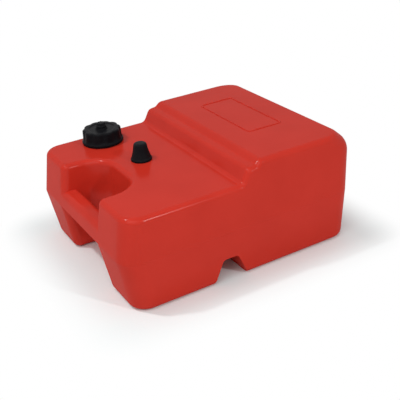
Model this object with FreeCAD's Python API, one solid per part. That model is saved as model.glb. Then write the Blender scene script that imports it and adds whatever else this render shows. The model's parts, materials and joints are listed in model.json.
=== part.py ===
"""Portable outboard fuel tank: blow-moulded shell with its own carrying bar,
vented filler cap and fuel pick-up.  Millimetres, +X to the rear, +Z up,
origin on the floor under the middle of the tank."""
import FreeCAD, Part
import math
import os

Vector = FreeCAD.Vector
UP = Vector(0, 0, 1)

# --- Shell: overall form -------------------------------------------------
tank_length = 446.0          # front of the parting line to the foot of the brow
tank_width = 360.0
parting_height = 92.0        # the mould halves meet here, in a faint crease
roof_height = 199.0          # high rear deck
deck_height = roof_height - 33.0     # low front deck
ledge_height = roof_height - 10.0    # top of the main riser
wall = 4.0
corner_radius = 32.0
edge_round = 10.0            # all round both decks
foot_round = 12.0            # all round the underside

# Walls lean in from the parting line, upwards and downwards alike (degrees)
front_draft = 9.4
side_draft = 2.2
bay_draft = 3.0
rear_draft = 3.5             # the rear wall leans in downwards from its brow
brow_height = roof_height - 23.0     # the rear wall falls forward from here to the roof
brow_run = 26.0

# --- Shell: step between the decks ---------------------------------------
step_start = 218.0           # foot of the riser, from the front
riser_angle = 62.0
step_root_round = 10.0
riser_head_round = 11.0
ledge_length = 15.0          # ledge between the two risers
ledge_rise = 2.0             # its fall towards the front
panel_angle = 40.0
panel_root_round = 5.0
panel_head_round = 13.0

# --- Shell: hand bay and carrying bar ------------------------------------
bay_width = 138.0
bay_depth = 84.0
bay_corner = 46.0
bar_top = 120.0
bar_depth = 34.0
bar_drop = 6.0               # belly of the bar below the parting line
bar_front_round = 14.0
bar_back_round = 10.0

# --- Shell: cross channel under the middle -------------------------------
channel_centre = 188.0       # from the front
channel_mouth = 66.0         # width at the floor
channel_roof = 28.0          # width at the top
channel_height = 44.0
channel_round = 8.0

# --- Filler neck and cap --------------------------------------------------
cap_from_front = 115.0
cap_from_side = 47.0
neck_bore_radius = 23.5
neck_outer_radius = 27.0
neck_height = 11.0
neck_step = 1.0              # the deck's hole and the gasket's are this much wider
thread_room = 2.0            # for the coarse cap thread
cap_gap = 1.0                # skirt above the deck
cap_skirt_radius = 37.5
cap_skirt_height = 4.5
cap_grip_radius = 35.0
cap_plate = 4.5
cap_bevel = 2.5              # round the top of the grip
cap_hollow = 8.5             # under the plate, above the gasket
cap_boss_radius = 8.0        # in the hollow, round the vent stem
cap_boss_depth = 5.5
gasket_thickness = 2.5
lobe_count = 10
lobe_depth = 2.2
lobe_radius = 9.0
baffle_radius = 20.5
baffle_thickness = 1.5
baffle_hub_radius = 10.0
baffle_hub_height = 4.0
baffle_holes = 4
baffle_hole_radius = 2.5
baffle_hole_circle = 15.0

# --- Vent in the cap ------------------------------------------------------
stem_radius = 3.0
running_clearance = 0.05
stem_in_knob = 5.5           # pressed into the knob
stem_slot_width = 1.6        # air passage down the stem
stem_slot_depth = 1.0
stem_end = 1.6               # stem left below the clip
collar_radius = 10.5
collar_height = 2.0
knob_radius = 9.5
knob_top_radius = 6.5
knob_height = 8.5
knob_foot_height = 2.5
knob_flutes = 8
knob_flute_radius = 2.4
knob_flute_depth = 1.0
vent_seal_radius = 6.5       # centre line of the ring
vent_seal_section = 1.0      # half its width and height
vent_travel = 2.0            # rise of the stem when opened
clip_radius = 5.0
clip_thickness = 0.8
clip_groove = 0.6            # depth of its groove in the stem

# --- Fuel pick-up ---------------------------------------------------------
pickup_from_front = 135.0
pickup_off_centre = 15.0
boss_radius = 15.0
boss_height = 2.0
boss_depth = 12.0            # collar below the deck's top face
port_radius = 10.5
seal_width = 3.8
seal_thickness = 1.6
hex_across_flats = 26.0
hex_height = 5.0
adapter_below_boss = 1.0
valve_seat_thickness = 3.5
tail_radius = 4.2
tail_bore = 2.2
tail_length = 18.0
chamber_radius = 4.4
poppet_radius = 3.6
poppet_height = 2.4
poppet_nose = 1.6            # radius of the tip, which enters the tail's bore
poppet_nose_height = 2.0
poppet_travel = 2.0
spring_radius = 2.8          # centre line of the coil
spring_wire = 0.3            # radius of the wire
spring_turns = 4
spring_sides = 6             # of the wire's section
barb_thread_radius = 6.4
barb_thread_length = 6.0
barb_across_flats = 14.0
barb_hex_height = 4.0
barb_root_radius = 4.3
barb_crest_radius = 5.2
barb_bore = 2.5
barb_length = 15.0
barb_count = 3
barb_land = 1.0              # cylindrical crest of each barb
tube_wall = 1.6
tube_floor_gap = 12.0        # open end of the tube above the tank's floor
tube_top_gap = 0.5
clip_band = 1.0              # band of the tube clip
clip_width = 6.0
clip_ear = 4.0
clip_from_top = 3.0
strainer_radius = 10.0
strainer_height = 22.0
strainer_floor_gap = 0.3
strainer_disc = 1.6
strainer_hub_height = 8.0
strainer_hub_wall = 1.5
strainer_ribs = 6
strainer_rib_width = 1.8
strainer_rib_depth = 1.5
rib_inset = 0.2              # ribs stand back from the rims of the discs
screen_thickness = 0.5

# --- Dust cover -----------------------------------------------------------
cover_base_radius = 18.5
cover_top_radius = 10.4
cover_height = 31.0
cover_wall = 1.6
cover_flare = 4.0            # height of the upright rim at the foot
cover_bevel = 2.0            # round the closed top


# --- Helpers ---------------------------------------------------------------
def from_front(distance):
    """X of a point this far behind the front of the parting line."""
    return distance - tank_length / 2


def rounded(points, radii):
    """Closed wire through the points, each corner rounded to its radius."""
    edges = []
    starts = []
    ends = []
    arcs = []
    for i, corner in enumerate(points):
        to_last = (points[i - 1] - corner).normalize()
        to_next = (points[(i + 1) % len(points)] - corner).normalize()
        half = to_last.getAngle(to_next) / 2
        if radii[i] <= 0:
            starts.append(corner)
            ends.append(corner)
            arcs.append(None)
            continue
        run = radii[i] / math.tan(half)
        inward = (to_last + to_next).normalize()
        middle = corner + inward * (radii[i] / math.sin(half) - radii[i])
        starts.append(corner + to_last * run)
        ends.append(corner + to_next * run)
        arcs.append(Part.Arc(starts[-1], middle, ends[-1]).toShape())
    for i in range(len(points)):
        following = (i + 1) % len(points)
        if arcs[i] is not None:
            edges.append(arcs[i])
        edges.append(Part.makeLine(ends[i], starts[following]))
    return Part.Wire(edges)


def prism(wire, sweep):
    """Solid swept from a closed wire."""
    return Part.Face(wire).extrude(sweep)


def profile_xz(pairs, y=0.0):
    """(x, z) pairs as points of an upright plane."""
    return [Vector(x, y, z) for x, z in pairs]


def turned(pairs, axis):
    """Solid of revolution about an upright axis, from (radius, z) pairs."""
    wire = Part.makePolygon(profile_xz(pairs + pairs[:1]))
    solid = Part.Face(wire).revolve(Vector(0, 0, 0), UP, 360)
    solid.translate(Vector(axis.x, axis.y, 0))
    return solid


def ring(inner, outer, low, high, axis):
    """Plain upright tube or washer."""
    return turned([(inner, low), (outer, low), (outer, high), (inner, high)], axis)


def cylinder(radius, low, high, axis):
    return Part.makeCylinder(radius, high - low, Vector(axis.x, axis.y, low))


def hexagon(across_flats, low, high, axis):
    """Upright hexagonal prism."""
    reach = across_flats / math.sqrt(3)
    corners = [Vector(axis.x + reach * math.cos(math.radians(60 * i)),
                      axis.y + reach * math.sin(math.radians(60 * i)), low) for i in range(7)]
    return prism(Part.makePolygon(corners), Vector(0, 0, high - low))


def around(shape, axis, count):
    """Copies of a shape, evenly spaced about the upright axis."""
    copies = []
    for i in range(count):
        copy = shape.copy()
        copy.rotate(Vector(axis.x, axis.y, 0), UP, 360 * i / count)
        copies.append(copy)
    return copies


linear_tolerance = 0.01
shoulder_round = max(edge_round, foot_round) + 1.5    # upright corners beside the bay
cap_axis = Vector(from_front(cap_from_front), tank_width / 2 - cap_from_side, 0)
pickup_axis = Vector(from_front(pickup_from_front), pickup_off_centre, 0)


# --- Tank shell --------------------------------------------------------------
def lean(height, draft):
    """How far a wall with this draft has leaned in at a height."""
    return abs(height - parting_height) * math.tan(math.radians(draft))


def rear_at(height, inset):
    """X of the rear wall below its brow."""
    return from_front(tank_length) - (brow_height - height) * math.tan(math.radians(rear_draft)) - inset


def nook_centre(side):
    """Middle of a rounded back corner of the bay, the same at every height.  side is 1 or -1."""
    return Vector(from_front(bay_depth) - bay_corner, side * (bay_width / 2 - bay_corner), 0)


def section(height, inset):
    """Corners of the level section: an oblong with the hand bay in its front.  The bay's back
    corners are arcs, from point 4 to 5 and from 6 to 7.  inset moves every wall into the material."""
    front = from_front(0) + lean(height, front_draft) + inset
    rear = rear_at(height, inset)
    side = tank_width / 2 - lean(height, side_draft) - inset
    bay_side = bay_width / 2 + lean(height, bay_draft) + inset
    bay_back = from_front(bay_depth) + lean(height, bay_draft) + inset
    nook = nook_centre(1)
    half = [(rear, side), (front, side), (front, bay_side), (nook.x, bay_side), (bay_back, nook.y)]
    corners = [(rear, -side)] + half + [(x, -y) for x, y in half[:0:-1]]
    return [Vector(x, y, height) for x, y in corners]


def drafted_block(low, high, inset):
    """Solid between two level sections: flat walls, and conical ones in the bay's back corners."""
    below = section(low, inset)
    above = section(high, inset)
    floor_edges = []
    roof_edges = []
    walls = []
    for i in range(len(below)):
        j = (i + 1) % len(below)
        if i in (4, 6):
            centre = nook_centre(1 if i == 4 else -1)
            rule = Part.makeLine(below[i], above[i])
            walls.append(rule.revolve(centre, UP, -90))
            floor_edges.append(quarter_arc(below[i], below[j], centre))
            roof_edges.append(quarter_arc(above[i], above[j], centre))
        else:
            walls.append(Part.Face(Part.makePolygon([below[i], below[j], above[j], above[i], below[i]])))
            floor_edges.append(Part.makeLine(below[i], below[j]))
            roof_edges.append(Part.makeLine(above[i], above[j]))
    floor_face = Part.Face(Part.Wire(floor_edges))
    floor_face.reverse()
    faces = [Part.Face(Part.Wire(roof_edges)), floor_face] + walls
    return Part.makeSolid(Part.makeShell(faces))


def quarter_arc(start, end, centre):
    """Level arc of 90 degrees between two points about an upright axis."""
    middle = Vector(centre.x, centre.y, start.z)
    radius = (start - middle).Length
    return Part.Arc(start, middle + (start + end - middle * 2).normalize() * radius, end).toShape()


def brow_tool(inset):
    """Cuts the rear wall's fall to the roof."""
    foot_height = brow_height - inset / 2
    foot = Vector(rear_at(foot_height, inset), -tank_width, foot_height)
    head = foot + Vector(-brow_run, 0, roof_height - brow_height)
    over = head + (head - foot)
    beyond = Vector(foot.x + tank_width, foot.y, over.z)
    aside = Vector(beyond.x, foot.y, foot.z)
    return prism(Part.makePolygon([foot, over, beyond, aside, foot]), Vector(0, 2 * tank_width, 0))


def edge_middle(edge):
    return edge.valueAt((edge.FirstParameter + edge.LastParameter) / 2)


def upright_edges(solid, x_low, x_high, y_low, y_high):
    """Edges between walls, by where their middles are; y counts from the centre line."""
    found = []
    for edge in solid.Edges:
        middle = edge_middle(edge)
        if edge.BoundBox.ZLength > 1 and x_low < middle.x < x_high and y_low < abs(middle.y) < y_high:
            found.append(edge)
    return found


def facing(solid, edge):
    """Upward parts of the normals of the two faces beside an edge."""
    middle = edge_middle(edge)
    return [face.normalAt(*face.Surface.parameter(middle)).z
            for face in solid.ancestorsOfType(edge, Part.Face)]


def mould_half(low, high, inset):
    """One half of the moulded form, its upright corners rounded."""
    solid = drafted_block(low, high, inset)
    if high > parting_height:
        solid = solid.cut(brow_tool(inset))
    rear_edges = upright_edges(solid, 0, tank_length, bay_width, tank_width)
    if high > parting_height:
        rear_edges += [edge for edge in solid.Edges
                       if abs(edge_middle(edge).z - brow_height + inset / 2) < linear_tolerance
                       and edge.BoundBox.YLength > tank_width / 2]
    solid = solid.makeFillet(corner_radius - inset, rear_edges)
    front = -tank_length
    outer = upright_edges(solid, front, from_front(bay_depth / 2), tank_width / 2 - corner_radius, tank_width)
    solid = solid.makeFillet(corner_radius - inset, outer)
    tips = upright_edges(solid, front, nook_centre(1).x - 1, bay_width / 4, tank_width / 2 - corner_radius)
    return solid.makeFillet(shoulder_round - inset, tips)


def air_over_step(inset):
    """What the mould leaves open above the low deck and the ledge."""
    riser_run = (ledge_height - deck_height) / math.tan(math.radians(riser_angle))
    panel_rise = roof_height - ledge_height - ledge_rise
    panel_run = panel_rise / math.tan(math.radians(panel_angle))
    riser_head = step_start + riser_run
    panel_foot = riser_head + ledge_length
    clear = wall + edge_round
    pairs = [(-clear, deck_height), (step_start, deck_height), (riser_head, ledge_height),
             (panel_foot, ledge_height + ledge_rise), (panel_foot + panel_run, roof_height),
             (tank_length + clear, roof_height), (tank_length + clear, roof_height + clear),
             (-clear, roof_height + clear)]
    radii = [0, step_root_round, riser_head_round, panel_root_round, panel_head_round, 0, 0, 0]
    points = profile_xz([(from_front(x), z) for x, z in pairs], -tank_width)
    wire = rounded(points, radii)
    if inset:
        wire = wire.makeOffset2D(inset, 2)
    return prism(wire, Vector(0, 2 * tank_width, 0))


def channel_tool(inset):
    """The open channel across the underside."""
    centre = from_front(channel_centre)
    slope = (channel_mouth - channel_roof) / 2 / channel_height
    below = channel_height / 2
    mouth = channel_mouth / 2 + slope * below
    roof = channel_roof / 2
    pairs = [(centre - mouth, -below), (centre - roof, channel_height),
             (centre + roof, channel_height), (centre + mouth, -below)]
    wire = rounded(profile_xz(pairs, -tank_width), [0, channel_round, channel_round, 0])
    if inset:
        wire = wire.makeOffset2D(inset, 2)
    return prism(wire, Vector(0, 2 * tank_width, 0))


def deck_edges(solid):
    """The loop round both decks and down the ends of the step."""
    found = []
    for edge in solid.Edges:
        slopes = facing(solid, edge)
        if edge_middle(edge).z > bar_top and len(slopes) == 2 and max(slopes) > 0.35 and min(slopes) < 0.3:
            found.append(edge)
    return found


def body_form(inset):
    """The moulded form: inset 0 is its outside, and the wall's thickness gives the fuel space,
    whose own edges stay sharp."""
    upper = mould_half(parting_height, roof_height - inset, inset).cut(air_over_step(inset))
    lower = mould_half(inset, parting_height, inset)
    if not inset:
        upper = upper.makeFillet(edge_round, deck_edges(upper))
        feet = [edge for edge in lower.Edges if edge_middle(edge).z < linear_tolerance]
        lower = lower.makeFillet(foot_round, feet)
    return upper.fuse(lower).removeSplitter().cut(channel_tool(inset))


def carrying_bar():
    """Hand grip across the mouth of the bay, its lower front edge on the parting line."""
    pairs = [(0, parting_height), (lean(bar_top, front_draft), bar_top), (bar_depth, bar_top),
             (bar_depth, parting_height - bar_drop), (bar_depth / 3, parting_height - bar_drop)]
    radii = [0, bar_front_round, bar_back_round, bar_back_round, bar_back_round / 2]
    reach = bay_width / 2 + shoulder_round + wall
    points = profile_xz([(from_front(x), z) for x, z in pairs], -reach)
    return prism(rounded(points, radii), Vector(0, 2 * reach, 0))


def make_tank_shell():
    outside = body_form(0).fuse(carrying_bar())
    boss = cylinder(boss_radius, boss_bottom, boss_top, pickup_axis)
    shell = outside.cut(body_form(wall)).fuse(boss)
    shell = shell.cut(cylinder(neck_bore_radius + neck_step, deck_height - 2 * wall, neck_top, cap_axis))
    return shell.cut(cylinder(port_radius, boss_bottom - wall, boss_top + wall, pickup_axis))


def make_filler_neck():
    """Neck that stands on the low deck round the filler hole."""
    return ring(neck_bore_radius, neck_outer_radius, deck_height, neck_top, cap_axis)


# --- Filler cap -----------------------------------------------------------------
neck_top = deck_height + neck_height
seat_bottom = neck_top + gasket_thickness
plate_bottom = seat_bottom + cap_hollow
plate_top = plate_bottom + cap_plate
collar_top = plate_top + collar_height
cap_boss_bottom = plate_bottom - cap_boss_depth


def make_cap_body():
    """Cap with a wide skirt, scalloped grip, a seat for the gasket and a collar for the vent."""
    skirt_bottom = deck_height + cap_gap
    skirt_top = skirt_bottom + cap_skirt_height
    inside = neck_outer_radius + thread_room
    hollow_radius = neck_bore_radius + neck_step
    grip_top = cap_grip_radius - cap_bevel
    hole = stem_radius + running_clearance
    pairs = [(hole, cap_boss_bottom), (cap_boss_radius, cap_boss_bottom), (cap_boss_radius, plate_bottom),
             (hollow_radius, plate_bottom), (hollow_radius, seat_bottom), (inside, seat_bottom),
             (inside, skirt_bottom), (cap_skirt_radius, skirt_bottom),
             (cap_skirt_radius, skirt_top), (cap_grip_radius, skirt_top),
             (cap_grip_radius, plate_top - cap_bevel), (grip_top, plate_top),
             (collar_radius, plate_top), (collar_radius, collar_top), (hole, collar_top)]
    cap = turned(pairs, cap_axis)
    scallop_axis = cap_axis + Vector(cap_grip_radius + lobe_radius - lobe_depth, 0, 0)
    scallop = cylinder(lobe_radius, skirt_top, plate_top + cap_plate, scallop_axis)
    return cap.cut(Part.makeCompound(around(scallop, cap_axis, lobe_count)))


def make_cap_gasket():
    return ring(neck_bore_radius + neck_step, neck_outer_radius, neck_top, seat_bottom, cap_axis)


def make_splash_baffle():
    """Disc on the cap's boss, over the neck, so that fuel does not slop into the vent."""
    low = cap_boss_bottom
    pairs = [(cap_boss_radius, low), (baffle_radius, low), (baffle_radius, low + baffle_thickness),
             (baffle_hub_radius, low + baffle_thickness), (baffle_hub_radius, low + baffle_hub_height),
             (cap_boss_radius, low + baffle_hub_height)]
    hole = cylinder(baffle_hole_radius, low - wall, low + wall, cap_axis + Vector(baffle_hole_circle, 0, 0))
    return turned(pairs, cap_axis).cut(Part.makeCompound(around(hole, cap_axis, baffle_holes)))


# --- Vent -----------------------------------------------------------------------
clip_top = cap_boss_bottom - vent_travel - running_clearance
clip_bottom = clip_top - clip_thickness
stem_top = collar_top + stem_in_knob
groove_clearance = 0.1       # either side of the sealing ring


def make_vent_knob():
    """Fluted thumb screw, with a groove under it for the ring."""
    top = collar_top + knob_height
    foot = collar_top + knob_foot_height
    seal_inner = vent_seal_radius - vent_seal_section - groove_clearance
    seal_outer = vent_seal_radius + vent_seal_section + groove_clearance
    seal_roof = collar_top + 2 * vent_seal_section
    pairs = [(stem_radius, collar_top), (seal_inner, collar_top), (seal_inner, seal_roof),
             (seal_outer, seal_roof), (seal_outer, collar_top), (knob_radius, collar_top),
             (knob_radius, foot), (knob_top_radius, top), (0, top), (0, stem_top), (stem_radius, stem_top)]
    knob = turned(pairs, cap_axis)
    flute_axis = cap_axis + Vector(knob_radius + knob_flute_radius - knob_flute_depth, 0, 0)
    flute = cylinder(knob_flute_radius, foot - knob_height, top + wall, flute_axis)
    flute.rotate(Vector(flute_axis.x, flute_axis.y, foot), Vector(0, 1, 0), -knob_lean())
    return knob.cut(Part.makeCompound(around(flute, cap_axis, knob_flutes)))


def knob_lean():
    """Slope of the knob's side (degrees)."""
    return math.degrees(math.atan2(knob_radius - knob_top_radius, knob_height - knob_foot_height))


def make_vent_stem():
    low = clip_bottom - stem_end
    neck_radius = stem_radius - clip_groove
    pairs = [(0, low), (stem_radius, low), (stem_radius, clip_bottom), (neck_radius, clip_bottom),
             (neck_radius, clip_top), (stem_radius, clip_top), (stem_radius, stem_top), (0, stem_top)]
    slot = Part.makeBox(stem_slot_depth * 2, stem_slot_width, collar_top - clip_top)
    slot.translate(cap_axis + Vector(stem_radius - stem_slot_depth, -stem_slot_width / 2, clip_top))
    return turned(pairs, cap_axis).cut(slot)


def make_vent_seal():
    """Square-cut ring between the knob and the collar."""
    return ring(vent_seal_radius - vent_seal_section, vent_seal_radius + vent_seal_section,
                collar_top, collar_top + 2 * vent_seal_section, cap_axis)


def make_vent_clip():
    """Snap ring in the stem's groove, open on one side."""
    clip = ring(stem_radius - clip_groove, clip_radius, clip_bottom, clip_top, cap_axis)
    mouth = Part.makeBox(clip_radius * 2, stem_radius, clip_thickness * 3)
    mouth.translate(cap_axis + Vector(-clip_radius * 2, -stem_radius / 2, clip_bottom - clip_thickness))
    return clip.cut(mouth)


# --- Fuel pick-up -----------------------------------------------------------------
boss_top = deck_height + boss_height
boss_bottom = deck_height - boss_depth
hex_bottom = boss_top + seal_thickness
hex_top = hex_bottom + hex_height
barb_thread_end = hex_top - barb_thread_length
adapter_bottom = boss_bottom - adapter_below_boss
valve_seat = adapter_bottom + valve_seat_thickness
tail_end = adapter_bottom - tail_length
poppet_slope = (poppet_radius - poppet_nose) / poppet_nose_height
poppet_tip = valve_seat - (tail_bore - poppet_nose) / poppet_slope
poppet_top = poppet_tip + poppet_nose_height + poppet_height
tube_top = adapter_bottom - tube_top_gap
tube_radius = tail_radius + tube_wall
tube_bottom = wall + tube_floor_gap
strainer_bottom = wall + strainer_floor_gap
strainer_top = strainer_bottom + strainer_height


def make_pickup_adapter():
    """Fitting in the port: a hexagon, a body with the valve chamber, and a tail for the tube."""
    body_radius = port_radius - running_clearance
    pairs = [(tail_bore, tail_end), (tail_radius, tail_end), (tail_radius, adapter_bottom),
             (body_radius, adapter_bottom), (body_radius, hex_top), (barb_thread_radius, hex_top),
             (barb_thread_radius, barb_thread_end), (chamber_radius, barb_thread_end),
             (chamber_radius, valve_seat), (tail_bore, valve_seat)]
    bored = hexagon(hex_across_flats, hex_bottom, hex_top, pickup_axis)
    bored = bored.cut(cylinder(body_radius, hex_bottom - wall, hex_top + wall, pickup_axis))
    return turned(pairs, pickup_axis).fuse(bored).removeSplitter()


def make_adapter_seal():
    return ring(port_radius, port_radius + seal_width, boss_top, hex_bottom, pickup_axis)


def make_check_poppet():
    """Plunger whose conical nose closes the tail's bore."""
    shoulder = poppet_tip + poppet_nose_height
    pairs = [(0, poppet_tip), (poppet_nose, poppet_tip), (poppet_radius, shoulder),
             (poppet_radius, poppet_top), (0, poppet_top)]
    return turned(pairs, pickup_axis)


def make_check_spring():
    """Coil between the poppet and the hose barb."""
    low = poppet_top + spring_wire
    length = barb_thread_end - spring_wire - low
    helix = Part.makeHelix(length / spring_turns, length, spring_radius)
    corners = []
    for i in range(spring_sides + 1):
        turn = math.radians(360 * i / spring_sides)
        corners.append(Vector(spring_radius + spring_wire * math.cos(turn), 0, spring_wire * math.sin(turn)))
    coil = Part.Wire(helix).makePipeShell([Part.makePolygon(corners)], True, True)
    coil.translate(pickup_axis + Vector(0, 0, low))
    return coil


def make_hose_barb():
    """Threaded end in the adapter, hexagon, and barbs whose crests grip the hose."""
    hex_end = hex_top + barb_hex_height
    pitch = barb_length / barb_count
    pairs = [(barb_bore, barb_thread_end), (barb_thread_radius, barb_thread_end),
             (barb_thread_radius, hex_end), (barb_root_radius, hex_end)]
    for i in range(barb_count):
        foot = hex_end + i * pitch
        pairs += [(barb_root_radius, foot + pitch * 0.2), (barb_crest_radius, foot + pitch * 0.2),
                  (barb_crest_radius, foot + pitch * 0.2 + barb_land), (barb_root_radius, foot + pitch)]
    pairs.append((barb_bore, hex_end + barb_length))
    flats = hexagon(barb_across_flats, hex_top, hex_end, pickup_axis)
    flats = flats.cut(cylinder(barb_thread_radius, hex_top - wall, hex_end + wall, pickup_axis))
    return turned(pairs, pickup_axis).fuse(flats).removeSplitter()


def make_pickup_tube():
    return ring(tail_radius, tube_radius, tube_bottom, tube_top, pickup_axis)


def make_tube_clip():
    """Spring band round the tube on the adapter's tail, with two ears to pinch."""
    high = tube_top - clip_from_top
    low = high - clip_width
    outer = tube_radius + clip_band
    ear = Part.makeBox(outer + clip_ear, clip_band, clip_width)
    gap = clip_band * 2
    ears = []
    for offset in (gap / 2, -gap / 2 - clip_band):
        flap = ear.copy()
        flap.translate(pickup_axis + Vector(0, offset, low))
        ears.append(flap)
    mouth = Part.makeBox(outer * 2, gap, clip_width * 2)
    mouth.translate(pickup_axis + Vector(0, -gap / 2, low - clip_width / 2))
    band = cylinder(outer, low, high, pickup_axis).fuse(ears)
    return band.cut(cylinder(tube_radius, low - wall, high + wall, pickup_axis)).cut(mouth).removeSplitter()


def make_strainer_cage():
    """Two discs joined by ribs; the hub of the upper one grips the tube."""
    hub = ring(tube_radius, tube_radius + strainer_hub_wall, strainer_top - strainer_hub_height,
               strainer_top, pickup_axis)
    disc_bottom = strainer_top - strainer_disc
    upper = ring(tube_radius, strainer_radius, disc_bottom, strainer_top, pickup_axis)
    lower = cylinder(strainer_radius, strainer_bottom, strainer_bottom + strainer_disc, pickup_axis)
    rib = Part.makeBox(strainer_rib_depth, strainer_rib_width, strainer_height)
    rib.translate(pickup_axis + Vector(strainer_radius - strainer_rib_depth - rib_inset,
                                       -strainer_rib_width / 2, strainer_bottom))
    return upper.fuse([hub, lower] + around(rib, pickup_axis, strainer_ribs)).removeSplitter()


def make_strainer_screen():
    outer = strainer_radius - strainer_rib_depth - rib_inset
    return ring(outer - screen_thickness, outer, strainer_bottom + strainer_disc,
                strainer_top - strainer_disc, pickup_axis)


# --- Dust cover ---------------------------------------------------------------------
def make_dust_cover():
    """Soft conical cover over the hose barb, its rim on the deck."""
    low = deck_height
    foot = low + cover_flare
    top = low + cover_height
    pairs = [(cover_base_radius - cover_wall, low), (cover_base_radius, low), (cover_base_radius, foot),
             (cover_top_radius, top - cover_bevel), (cover_top_radius - cover_bevel, top),
             (0, top), (0, top - cover_wall),
             (cover_top_radius - cover_wall, top - cover_wall), (cover_base_radius - cover_wall, foot)]
    return turned(pairs, pickup_axis)


nodes = {
    "tank_shell": make_tank_shell,
    "filler_neck": make_filler_neck,
    "cap_body": make_cap_body,
    "cap_gasket": make_cap_gasket,
    "splash_baffle": make_splash_baffle,
    "vent_knob": make_vent_knob,
    "vent_stem": make_vent_stem,
    "vent_seal": make_vent_seal,
    "vent_clip": make_vent_clip,
    "pickup_adapter": make_pickup_adapter,
    "adapter_seal": make_adapter_seal,
    "check_poppet": make_check_poppet,
    "check_spring": make_check_spring,
    "hose_barb": make_hose_barb,
    "pickup_tube": make_pickup_tube,
    "tube_clip": make_tube_clip,
    "strainer_cage": make_strainer_cage,
    "strainer_screen": make_strainer_screen,
    "dust_cover": make_dust_cover,
}

os.makedirs("parts", exist_ok=True)
for name, make in nodes.items():
    make().exportStep("parts/" + name + ".step")
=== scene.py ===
"""Looks of a portable outboard fuel tank: moulded shell, filler cap, dust cover and studio."""
import json
import logging
import math
from collections.abc import Callable, Sequence
from dataclasses import dataclass
from enum import Enum

import bmesh
import bpy
from bmesh.types import BMEdge, BMesh, BMFace, BMVert
from bpy.types import Material, Node, NodeSocket, NodeTree, Object
from mathutils import Matrix, Vector


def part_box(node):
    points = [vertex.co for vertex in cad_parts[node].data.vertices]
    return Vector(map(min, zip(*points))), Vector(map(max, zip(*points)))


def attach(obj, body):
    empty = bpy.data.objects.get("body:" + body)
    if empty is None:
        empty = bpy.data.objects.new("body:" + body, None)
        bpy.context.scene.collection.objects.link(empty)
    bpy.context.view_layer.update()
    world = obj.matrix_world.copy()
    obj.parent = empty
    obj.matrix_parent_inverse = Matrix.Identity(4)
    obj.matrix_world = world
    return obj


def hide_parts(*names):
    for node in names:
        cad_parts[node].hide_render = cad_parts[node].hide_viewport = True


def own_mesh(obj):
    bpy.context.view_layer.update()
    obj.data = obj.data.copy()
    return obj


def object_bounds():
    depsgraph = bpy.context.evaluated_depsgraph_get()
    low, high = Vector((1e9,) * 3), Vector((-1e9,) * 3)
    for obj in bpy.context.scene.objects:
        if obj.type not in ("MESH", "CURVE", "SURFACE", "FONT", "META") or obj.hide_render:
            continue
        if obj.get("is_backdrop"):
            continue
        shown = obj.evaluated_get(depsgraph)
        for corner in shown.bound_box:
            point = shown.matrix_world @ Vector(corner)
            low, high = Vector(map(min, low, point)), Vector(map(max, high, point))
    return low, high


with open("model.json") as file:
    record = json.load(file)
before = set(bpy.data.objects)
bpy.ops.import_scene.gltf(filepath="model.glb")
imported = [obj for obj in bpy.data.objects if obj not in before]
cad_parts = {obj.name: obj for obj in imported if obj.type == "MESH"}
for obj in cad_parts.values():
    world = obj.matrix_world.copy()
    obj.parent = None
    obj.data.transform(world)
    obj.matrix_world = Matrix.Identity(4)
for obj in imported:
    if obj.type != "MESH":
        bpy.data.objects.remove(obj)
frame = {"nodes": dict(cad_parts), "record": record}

logging.basicConfig(level=logging.INFO)
log = logging.getLogger("tank")

MM = 0.001
WELD = 0.001  # seams closer than this are merged, in millimetres
PARTING = 92.0  # height at which the shell's mould halves meet, in millimetres
UP = Vector((0, 0, 1))
WHITE = (1.0, 1.0, 1.0, 1.0)


class Slot(Enum):
    """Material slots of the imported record."""

    SHELL = "shell_plastic"
    CAP = "cap_plastic"
    KNOB = "knob_plastic"
    STEM = "stem_plastic"
    BAFFLE = "baffle_plastic"
    ADAPTER = "adapter_plastic"
    TUBE = "tube_plastic"
    STRAINER = "strainer_plastic"
    SCREEN = "screen_mesh"
    SEAL = "seal_rubber"
    COVER = "cover_rubber"
    STEEL = "spring_steel"
    BRASS = "fitting_brass"


class Body(Enum):
    """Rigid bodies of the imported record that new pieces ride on."""

    TANK = "tank"
    CAP = "cap"
    VENT = "vent"
    COVER = "cover"


def linear(hex_colour: str) -> tuple[float, float, float, float]:
    """Converts an sRGB hex colour to linear light.

    Args:
        hex_colour: Six hexadecimal digits.

    Returns:
        Red, green, blue and an alpha of 1.
    """
    channels = []
    for i in (0, 2, 4):
        value = int(hex_colour[i:i + 2], 16) / 255
        channels.append(value / 12.92 if value <= 0.04045 else ((value + 0.055) / 1.055) ** 2.4)
    return channels[0], channels[1], channels[2], 1.0


# --- Finishes ------------------------------------------------------------------


def add_node(tree: NodeTree, kind: str, settings: dict[str | int, object] | None = None,
             links: dict[str | int, NodeSocket] | None = None) -> Node:
    """Adds a shader node with its settings and links.

    Args:
        tree: Where it goes.
        kind: Blender's name of the node type.
        settings: Values of its inputs or of its own properties, by name or input number.
        links: Sockets that feed its inputs, by name or input number.

    Returns:
        The new node.
    """
    node = tree.nodes.new(kind)
    for name, value in (settings or {}).items():
        if isinstance(name, int) or name in node.inputs:
            node.inputs[name].default_value = value
        else:
            setattr(node, name, value)
    for name, source in (links or {}).items():
        tree.links.new(source, node.inputs[name])
    return node


def maths(tree: NodeTree, operation: str, first: NodeSocket,
          second: NodeSocket | float | None = None) -> NodeSocket:
    """Adds one step of arithmetic.

    Args:
        tree: Where it goes.
        operation: Blender's name of the step.
        first: What it starts from.
        second: What it is combined with, if the step takes two values.

    Returns:
        The result.
    """
    settings: dict[str | int, object] = {"operation": operation}
    links: dict[str | int, NodeSocket] = {0: first}
    if isinstance(second, NodeSocket):
        links[1] = second
    elif second is not None:
        settings[1] = second
    return add_node(tree, "ShaderNodeMath", settings, links).outputs["Value"]


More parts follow.
